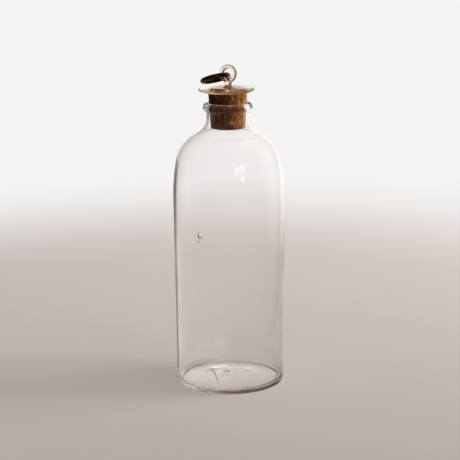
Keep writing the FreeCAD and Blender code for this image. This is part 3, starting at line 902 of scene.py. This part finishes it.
def glass_material(name, wave, loss):
    """Clear glass with a drawn surface and faint smears. Its shadow is a light tint."""
    material, tree, coords = new_material(name)
    shader = add(tree, "ShaderNodeBsdfPrincipled", Roughness=0.0, IOR=GLASS_IOR,
                 Base_Color=(1, 1, 1, 1), Transmission_Weight=1.0)
    drawn = noise_of(tree, coords, scale=0.06, detail=2.0, stretch=(1.0, 1.0, 0.35))
    smear = noise_of(tree, coords, scale=0.12, detail=3.0)
    haze = ramp(tree, smear, (0.45, grey(0.0)), (0.8, grey(SMEAR)))
    wire(tree, (bump(tree, drawn, wave), shader.inputs["Normal"]),
         (haze, shader.inputs["Roughness"]))
    clear = add(tree, "ShaderNodeBsdfTransparent", Color=(*SHADOW_TINT, 1))
    paths = tree.nodes.new("ShaderNodeLightPath")
    mix = tree.nodes.new("ShaderNodeMixShader")
    wire(tree, (paths.outputs["Is Shadow Ray"], mix.inputs["Fac"]),
         (shader.outputs["BSDF"], mix.inputs[1]), (clear.outputs["BSDF"], mix.inputs[2]))
    volume = add(tree, "ShaderNodeVolumeAbsorption", Density=max(loss),
                 Color=(*[1 - part / max(loss) for part in loss], 1))
    finish_material(tree, mix.outputs["Shader"], volume.outputs["Volume"])
    return material


def darken(tree, amount, first, second):
    """First colour times the second, by an amount."""
    mix = tree.nodes.new("ShaderNodeMix")
    mix.data_type = "RGBA"
    mix.blend_type = "MULTIPLY"
    mix.inputs["Factor"].default_value = amount
    wire(tree, (first, mix.inputs[6]), (second, mix.inputs[7]))
    return mix.outputs[2]


CORK_BODY = [(0.30, (0.088, 0.027, 0.006)), (0.43, (0.200, 0.071, 0.016)),
             (0.55, (0.335, 0.148, 0.043)), (0.72, (0.535, 0.300, 0.115))]
CORK_SHADE = [(0.36, (0.38, 0.31, 0.26)), (0.62, grey(1.0))]
CORK_PITS = [(0.34, (0.12, 0.07, 0.05)), (0.43, grey(1.0))]


def cork_material():
    """Bark: upright grain in brown and tan, darker blotches, and nearly black pits."""
    material, tree, coords = new_material("cork")
    shader = add(tree, "ShaderNodeBsdfPrincipled", Roughness=0.82, Specular_IOR_Level=0.15)
    grain = noise_of(tree, coords, scale=0.66, detail=5.0, roughness=0.62, stretch=(1.0, 1.0, 0.33))
    blotch = noise_of(tree, coords, scale=0.34, detail=3.0, roughness=0.55, stretch=(1.0, 1.0, 0.9))
    crumb = noise_of(tree, coords, scale=1.3, detail=4.0, roughness=0.65, stretch=(1.0, 1.0, 0.7))
    shaded = darken(tree, 0.85, ramp(tree, grain, *CORK_BODY), ramp(tree, blotch, *CORK_SHADE))
    pitted = darken(tree, 0.75, shaded, ramp(tree, crumb, *CORK_PITS))
    low = bump(tree, grain, distance=0.5, strength=0.8)
    fine = bump(tree, crumb, distance=0.3, strength=0.9, under=low)
    wire(tree, (pitted, shader.inputs["Base Color"]), (fine, shader.inputs["Normal"]))
    finish_material(tree, shader.outputs["BSDF"])
    return material


RUB_AND_HIGHLIGHT_REACH = 5.6                     # from the ring's hinge, where the loop rubs it and a highlight is painted
RUB_AND_HIGHLIGHT_FULL = 0.35                     # share of that reach inside which the rubbing and the painted highlight are strongest
# painted highlight and rubbed wear: the lighter, less metallic bronze near the hinge
RUBBED_AND_HIGHLIGHT = (0.42, 0.235, 0.105)
RUBBED_AND_HIGHLIGHT_METAL = 0.45
PATINA = [(0.38, (0.018, 0.013, 0.011)), (0.58, (0.040, 0.027, 0.020)),
          (0.78, (0.16, 0.092, 0.045))]


def bronze_material():
    """Nearly black patina, and lighter, less metallic bronze where the ring hangs in the loop:
    partly wear from rubbing, partly a painted highlight.
    """
    material, tree, coords = new_material("dark_bronze")
    shader = tree.nodes.new("ShaderNodeBsdfPrincipled")
    cloud = noise_of(tree, coords, scale=0.28, detail=5.0, roughness=0.6)
    speckle = noise_of(tree, coords, scale=1.8, detail=3.0, roughness=0.6)
    from_loop = vector_math(tree, "DISTANCE", coords, Vector(RING_HINGE["pos_m"])).outputs["Value"]
    # 1 near the hinge, where the painted highlight and the rubbing are strongest
    near = ease(tree, from_loop, RUB_AND_HIGHLIGHT_REACH * MM, RUB_AND_HIGHLIGHT_FULL * RUB_AND_HIGHLIGHT_REACH * MM)
    colour = choose(tree, near, ramp(tree, cloud, *PATINA), RUBBED_AND_HIGHLIGHT)
    metal = ramp(tree, near, (0.0, grey(1.0)), (1.0, grey(RUBBED_AND_HIGHLIGHT_METAL)))
    rough = ramp(tree, speckle, (0.3, grey(0.26)), (0.7, grey(0.48)))
    dents = bump(tree, speckle, distance=0.05, strength=0.7)
    wire(tree, (colour, shader.inputs["Base Color"]), (metal, shader.inputs["Metallic"]),
         (rough, shader.inputs["Roughness"]), (dents, shader.inputs["Normal"]))
    finish_material(tree, shader.outputs["BSDF"])
    return material


# Floor, world and lamps. What is seen straight, also through the bottle, is a plain pale room.
# What is mirrored or bent aside is a studio: bright at the right and the back, dim at the left,
# dark and warm in front, with one dark stripe at the back, left of the middle. The world gives
# this studio as light; the floor further out glows with it, and that glow is painted light and
# shade, its dark stripe painted shade. A pair whose name ends in a way, such as ACROSS, is where
# in that part of a direction the first colour ends and where the second is reached. The counts
# of a ray's passages are whole numbers, so they are compared with halves

STUDIO_LEFT = (0.30, 0.26, 0.235)
STUDIO_RIGHT = (1.02, 0.99, 0.96)
STUDIO_ACROSS = (-0.8, 0.0)
BENT_LEFT = (0.10, 0.060, 0.032)    # the sides as a single wall of glass bends them
BENT_RIGHT = (0.90, 0.85, 0.76)
BENT_ACROSS = (-0.36, 0.14)
STUDIO_FRONT = (0.11, 0.065, 0.038)
STUDIO_BACKWARD = (-0.45, 0.35)
PANEL = (1.15, 1.12, 1.08)
PANEL_WAY = Vector((0.04, 1.0, 0.30)).normalized()
PANEL_EDGE = cos(radians(19))
PANEL_MIDDLE = cos(radians(11))
OVERHEAD = (0.26, 0.20, 0.15)
OVERHEAD_UP = (0.175, 0.26)
OVERHEAD_RIGHT = (0.20, 0.36)       # it ends there
# painted shade where the glowing floor shows it to glass and metal, and dim light from the world
STRIPE = (0.22, 0.17, 0.155)
STRIPE_START = (0.05, 0.17)         # slopes to the side over the distance behind
STRIPE_END = (0.70, 1.10)
STRIPE_FAR = (0.74, 1.60)           # metres of floor over which it fades out
STRIPE_ABOVE = 0.35                 # its share above the floor
MATT_LEFT = (0.03, 0.027, 0.025)    # what lights matt things from the sides
MATT_RIGHT = (0.62, 0.60, 0.57)
MATT_ACROSS = (-0.25, 0.9)
LED_LEFT = (0.012, 0.006, 0.003)    # what glass shows that leads light along inside, as the heel
LED_RIGHT = (0.95, 0.92, 0.90)
LED_ACROSS = (0.02, 0.12)
LED_UP = (0.02, 0.10)
ROOM_WHITE = (0.905, 0.900, 0.890)
ROOM_THROUGH_BRIGHTENED = (0.955, 0.935, 0.925)  # the same room seen through the bottle, painted brighter to make up for the light the glass takes
MORE_THAN_ONCE = 1.5
ONE_WALL = 2.0                      # its two surfaces
MORE_THAN_ONE_WALL = 2.5
FLOOR_SIDE = 14.0                   # metres
FLOOR_DROP = 0.05                   # keeps the foot and the floor from sharing one plane
FLOOR_GRAIN = 0.985                 # its darkest spots
NEAR_COLOUR = (0.600, 0.545, 0.537)
NEAR_THROUGH = 0.93                 # its brightness through the bottle
# painted shade: the floor's dark colour for the light it bounces onto the bottle, cork and ring
BOUNCE_COLOUR = (0.10, 0.085, 0.075)
NEAR_BEHIND = (0.0, 0.03)           # metres behind the middle where its mirrored sides start
NEAR_PAINTED_SHADE = (0.27, 0.225, 0.21)     # painted shade at the left and painted light at the right: the near floor as it is mirrored at either side
NEAR_LEFT_END = (0.48, 0.72)
NEAR_PAINTED_LIGHT = (0.72, 0.67, 0.655)
NEAR_RIGHT_START = (0.06, 0.26)
NEAR_REACH = (0.30, 0.62)           # metres from the middle where the floor turns into the room


def calculate(tree, operation, *values, clamp=True):
    """A sum, product or the like of sockets or numbers, kept from 0 to 1 unless told not to."""
    node = tree.nodes.new("ShaderNodeMath")
    node.operation = operation
    node.use_clamp = clamp
    for socket, value in zip(node.inputs, values):
        if isinstance(value, float):
            socket.default_value = value
        else:
            tree.links.new(value, socket)
    return node.outputs["Value"]


def product(tree, first, second):
    return calculate(tree, "MULTIPLY", first, second)


def inverse(tree, share):
    return calculate(tree, "SUBTRACT", 1.0, share)


def vector_math(tree, operation, vector, other=None):
    node = tree.nodes.new("ShaderNodeVectorMath")
    node.operation = operation
    tree.links.new(vector, node.inputs[0])
    if other is not None:
        node.inputs[1].default_value = other
    return node


def split_up(tree, vector):
    """The three parts of a vector, by their names."""
    node = tree.nodes.new("ShaderNodeSeparateXYZ")
    tree.links.new(vector, node.inputs["Vector"])
    return node.outputs


def ray(tree, kind):
    return tree.nodes.new("ShaderNodeLightPath").outputs[kind]


def bends(tree):
    """How many glass surfaces a ray has passed."""
    return ray(tree, "Transmission Depth")


def mirrorings(tree):
    return ray(tree, "Glossy Depth")


def seen_by_camera(tree):
    return ray(tree, "Is Camera Ray")


def seen_straight(tree):
    """1 for the camera's rays, and for those that went through both walls of the bottle."""
    turned_away = calculate(tree, "ADD", mirrorings(tree), ray(tree, "Diffuse Depth"))
    both_walls = calculate(tree, "GREATER_THAN", bends(tree), MORE_THAN_ONE_WALL)
    through = product(tree, both_walls, inverse(tree, turned_away))
    return calculate(tree, "ADD", seen_by_camera(tree), through)


def single_wall(tree):
    """1 for rays that went into glass and out again once, unmirrored."""
    unturned = inverse(tree, mirrorings(tree))
    twice = calculate(tree, "COMPARE", bends(tree), ONE_WALL, 0.5)
    return product(tree, twice, unturned)


def led_through(tree):
    """1 for rays that glass mirrored inside it more than once."""
    many = calculate(tree, "GREATER_THAN", mirrorings(tree), MORE_THAN_ONCE)
    bent = calculate(tree, "GREATER_THAN", bends(tree), MORE_THAN_ONCE)
    return product(tree, many, bent)


def seen_shiny(tree):
    """1 for the camera's rays and for all that glass or metal sends on."""
    sent_on = calculate(tree, "ADD", ray(tree, "Is Glossy Ray"), ray(tree, "Is Transmission Ray"))
    return calculate(tree, "ADD", seen_by_camera(tree), sent_on)


def choose(tree, factor, first, second):
    """First colour where the factor is 0, second where it is 1. Both are sockets or colours."""
    mix = tree.nodes.new("ShaderNodeMix")
    mix.data_type = "RGBA"
    tree.links.new(factor, mix.inputs["Factor"])
    for socket, value in ((mix.inputs[6], first), (mix.inputs[7], second)):
        if isinstance(value, tuple):
            socket.default_value = (*value, 1)
        else:
            tree.links.new(value, socket)
    return mix.outputs[2]


def ease(tree, value, low, high):
    """0 where the socket's value is under low, 1 over high, smooth between."""
    node = tree.nodes.new("ShaderNodeMapRange")
    node.interpolation_type = "SMOOTHSTEP"
    node.inputs["From Min"].default_value = low
    node.inputs["From Max"].default_value = high
    tree.links.new(value, node.inputs["Value"])
    return node.outputs["Result"]


def stripe(tree, slope, end):
    """1 for slopes to one side inside the dark stripe, and 0 nearer to the middle and past it."""
    inside = ease(tree, slope, *STRIPE_START)
    return product(tree, inside, inverse(tree, ease(tree, slope, *end)))


def studio_colour(tree, direction, nearness):
    """The studio's light in a direction: light from the world, and painted light and shade where
    the floor glows with it. The dark stripe at the left, painted shade on the floor, shows by the
    nearness.
    """
    way = split_up(tree, direction)
    leftward = calculate(tree, "MULTIPLY", way["X"], -1.0, clamp=False)
    slope = calculate(tree, "DIVIDE", leftward, way["Y"], clamp=False)
    behind = calculate(tree, "GREATER_THAN", way["Y"], 0.0)
    dark = product(tree, behind, stripe(tree, slope, STRIPE_END))
    dark = product(tree, dark, nearness)
    mirrored = choose(tree, ease(tree, way["X"], *STUDIO_ACROSS), STUDIO_LEFT, STUDIO_RIGHT)
    striped = choose(tree, dark, mirrored, STRIPE)
    bent = choose(tree, ease(tree, way["X"], *BENT_ACROSS), BENT_LEFT, BENT_RIGHT)
    sides = choose(tree, single_wall(tree), striped, bent)
    return choose(tree, ease(tree, way["Y"], *STUDIO_BACKWARD), STUDIO_FRONT, sides)


def panel_share(tree, direction):
    """How far a ray that was mirrored inside glass falls in the bright panel high at the back."""
    towards = vector_math(tree, "DOT_PRODUCT", direction, PANEL_WAY).outputs["Value"]
    lobe = ease(tree, towards, PANEL_EDGE, PANEL_MIDDLE)
    inside = product(tree, mirrorings(tree), bends(tree))
    return product(tree, lobe, inside)


def overhead_share(tree, way):
    """How far a ray that was only mirrored, never bent, points above the bright back."""
    outside = calculate(tree, "SUBTRACT", mirrorings(tree), bends(tree))
    above = ease(tree, way["Z"], *OVERHEAD_UP)
    over = calculate(tree, "SUBTRACT", above, ease(tree, way["X"], *OVERHEAD_RIGHT))
    return product(tree, over, outside)


def beside(tree, place, side):
    """How far floor behind the bottle lies to one side of it, over its distance behind."""
    out = calculate(tree, "MULTIPLY_ADD", place["X"], side, -BOTTLE_HIGH.x * MM, clamp=False)
    return calculate(tree, "DIVIDE", out, place["Y"], clamp=False)


def near_floor(tree, coords):
    """Pale pinkish grey. Mirrored or bent aside it is darker at the left and brighter at the right,
    a painted shade and a painted light.
    """
    paper = noise_of(tree, coords, scale=0.02, detail=4.0)
    seen = ramp(tree, paper, (0.3, tuple(c * FLOOR_GRAIN for c in NEAR_COLOUR)), (0.7, NEAR_COLOUR))
    dimmed = tuple(c * NEAR_THROUGH for c in NEAR_COLOUR)
    plain = choose(tree, seen_by_camera(tree), dimmed, seen)
    place = split_up(tree, coords)
    aside = product(tree, inverse(tree, seen_straight(tree)),
                    ease(tree, place["Y"], *NEAR_BEHIND))
    left = stripe(tree, beside(tree, place, -1.0), NEAR_LEFT_END)
    right = ease(tree, beside(tree, place, 1.0), *NEAR_RIGHT_START)
    darker = choose(tree, product(tree, aside, left), plain, NEAR_PAINTED_SHADE)
    return choose(tree, product(tree, aside, right), darker, NEAR_PAINTED_LIGHT)


def floor_material():
    """The near floor, which turns into the room further out: a glow of plain white as seen
    straight, and of the studio's painted light and shade where glass or metal sends the ray.
    """
    material, tree, coords = new_material("floor")
    length = vector_math(tree, "LENGTH", coords).outputs["Value"]
    way = vector_math(tree, "NORMALIZE", coords).outputs["Vector"]
    shiny = seen_shiny(tree)
    matt = add(tree, "ShaderNodeBsdfDiffuse", Roughness=1.0)
    close = inverse(tree, ease(tree, length, *STRIPE_FAR))
    white = choose(tree, seen_by_camera(tree), ROOM_THROUGH_BRIGHTENED, ROOM_WHITE)
    room = choose(tree, seen_straight(tree), studio_colour(tree, way, close), white)
    # the floor glows further out: painted light and shade for glass and metal, plain white as seen
    # straight
    far = tree.nodes.new("ShaderNodeEmission")
    mix = tree.nodes.new("ShaderNodeMixShader")
    reach = product(tree, shiny, ease(tree, length, *NEAR_REACH))
    wire(tree, (choose(tree, shiny, BOUNCE_COLOUR, near_floor(tree, coords)), matt.inputs["Color"]),
         (room, far.inputs["Color"]), (reach, mix.inputs["Fac"]),
         (matt.outputs["BSDF"], mix.inputs[1]), (far.outputs["Emission"], mix.inputs[2]))
    finish_material(tree, mix.outputs["Shader"])
    return material


def make_floor():
    end = FLOOR_SIDE / 2 / MM
    corners = [(x, y, -FLOOR_DROP) for x, y in ((-end, -end), (end, -end), (end, end), (-end, end))]
    floor = new_piece("floor", corners, [(0, 1, 2, 3)], floor_material())


def make_world():
    world = bpy.data.worlds.new("studio")
    world.use_nodes = True
    tree = world.node_tree
    tree.nodes.clear()
    bpy.context.scene.world = world
    direction = tree.nodes.new("ShaderNodeTexCoord").outputs["Generated"]
    way = split_up(tree, direction)
    around = studio_colour(tree, direction, STRIPE_ABOVE)
    lit = choose(tree, panel_share(tree, direction), around, PANEL)
    led = choose(tree, ease(tree, way["X"], *LED_ACROSS), LED_LEFT, LED_RIGHT)
    led_up = product(tree, led_through(tree), ease(tree, way["Z"], *LED_UP))
    studio = choose(tree, overhead_share(tree, way), choose(tree, led_up, lit, led), OVERHEAD)
    matt = choose(tree, ease(tree, way["X"], *MATT_ACROSS), MATT_LEFT, MATT_RIGHT)
    sent_on = choose(tree, seen_shiny(tree), matt, studio)
    white = choose(tree, seen_by_camera(tree), ROOM_THROUGH_BRIGHTENED, ROOM_WHITE)
    background = tree.nodes.new("ShaderNodeBackground")
    output = tree.nodes.new("ShaderNodeOutputWorld")
    wire(tree, (choose(tree, seen_straight(tree), sent_on, white), background.inputs["Color"]),
         (background.outputs["Background"], output.inputs["Surface"]))


def softbox(name, place, target, width, height, power, tint=(1, 1, 1)):
    """A rectangular lamp, in metres and watts, turned to a point."""
    data = bpy.data.lights.new(name, "AREA")
    data.shape = "RECTANGLE"
    data.size = width
    data.size_y = height
    data.energy = power
    data.color = tint
    lamp = in_scene(name, data)
    lamp.location = place
    lamp.rotation_euler = (Vector(target) - Vector(place)).to_track_quat("-Z", "Y").to_euler()
    return lamp


# The key lamp stands at the right. The panes are softboxes behind the camera that the shoulder
# and the neck mirror: turn from the front towards the right and height over the shoulder in
# degrees, width and height. Places and sizes are in metres

KEY_PLACE = (1.34, 0.16, 0.72)
KEY_TARGET = (0, 0, 0.12)
KEY_SIDE = 0.8
KEY_POWER = 47                      # watts
KEY_TINT = (1.0, 0.98, 0.955)
PANE_DISTANCE = 2.0
PANE_LIGHT = 1.45
PANES = [
    (19.6, 11.4, 0.36, 0.38),
    (30.6, 13.0, 0.31, 0.45),
    (30.0, 2.5, 0.25, 0.14),
]
SHOULDER_PLACE = Vector((0.006, -0.032, 0.142))


def make_lamps():
    key = softbox("key", KEY_PLACE, KEY_TARGET, KEY_SIDE, KEY_SIDE, KEY_POWER, KEY_TINT)
    key.visible_glossy = False
    key.visible_transmission = False
    for turn, rise, width, height in PANES:
        turn = radians(turn)
        rise = radians(rise)
        way = Vector((sin(turn) * cos(rise), -cos(turn) * cos(rise), sin(rise)))
        power = PANE_LIGHT * pi * width * height
        softbox("pane", SHOULDER_PLACE + way * PANE_DISTANCE, SHOULDER_PLACE, width, height, power)


GLASS_BOUNCES = 24


def main():
    scene = bpy.context.scene
    scene.view_settings.view_transform = "Standard"
    scene.cycles.max_bounces = GLASS_BOUNCES
    scene.cycles.glossy_bounces = GLASS_BOUNCES
    scene.cycles.transmission_bounces = GLASS_BOUNCES
    scene.cycles.transparent_max_bounces = GLASS_BOUNCES
    make_camera()
    make_bottle(glass_material("bottle_glass", BOTTLE_WAVE, BOTTLE_LOSS))
    make_cork(cork_material())
    make_lid(glass_material("lid_glass", LID_WAVE, LID_LOSS))
    make_ring(bronze_material())
    make_floor()
    make_world()
    make_lamps()


main()
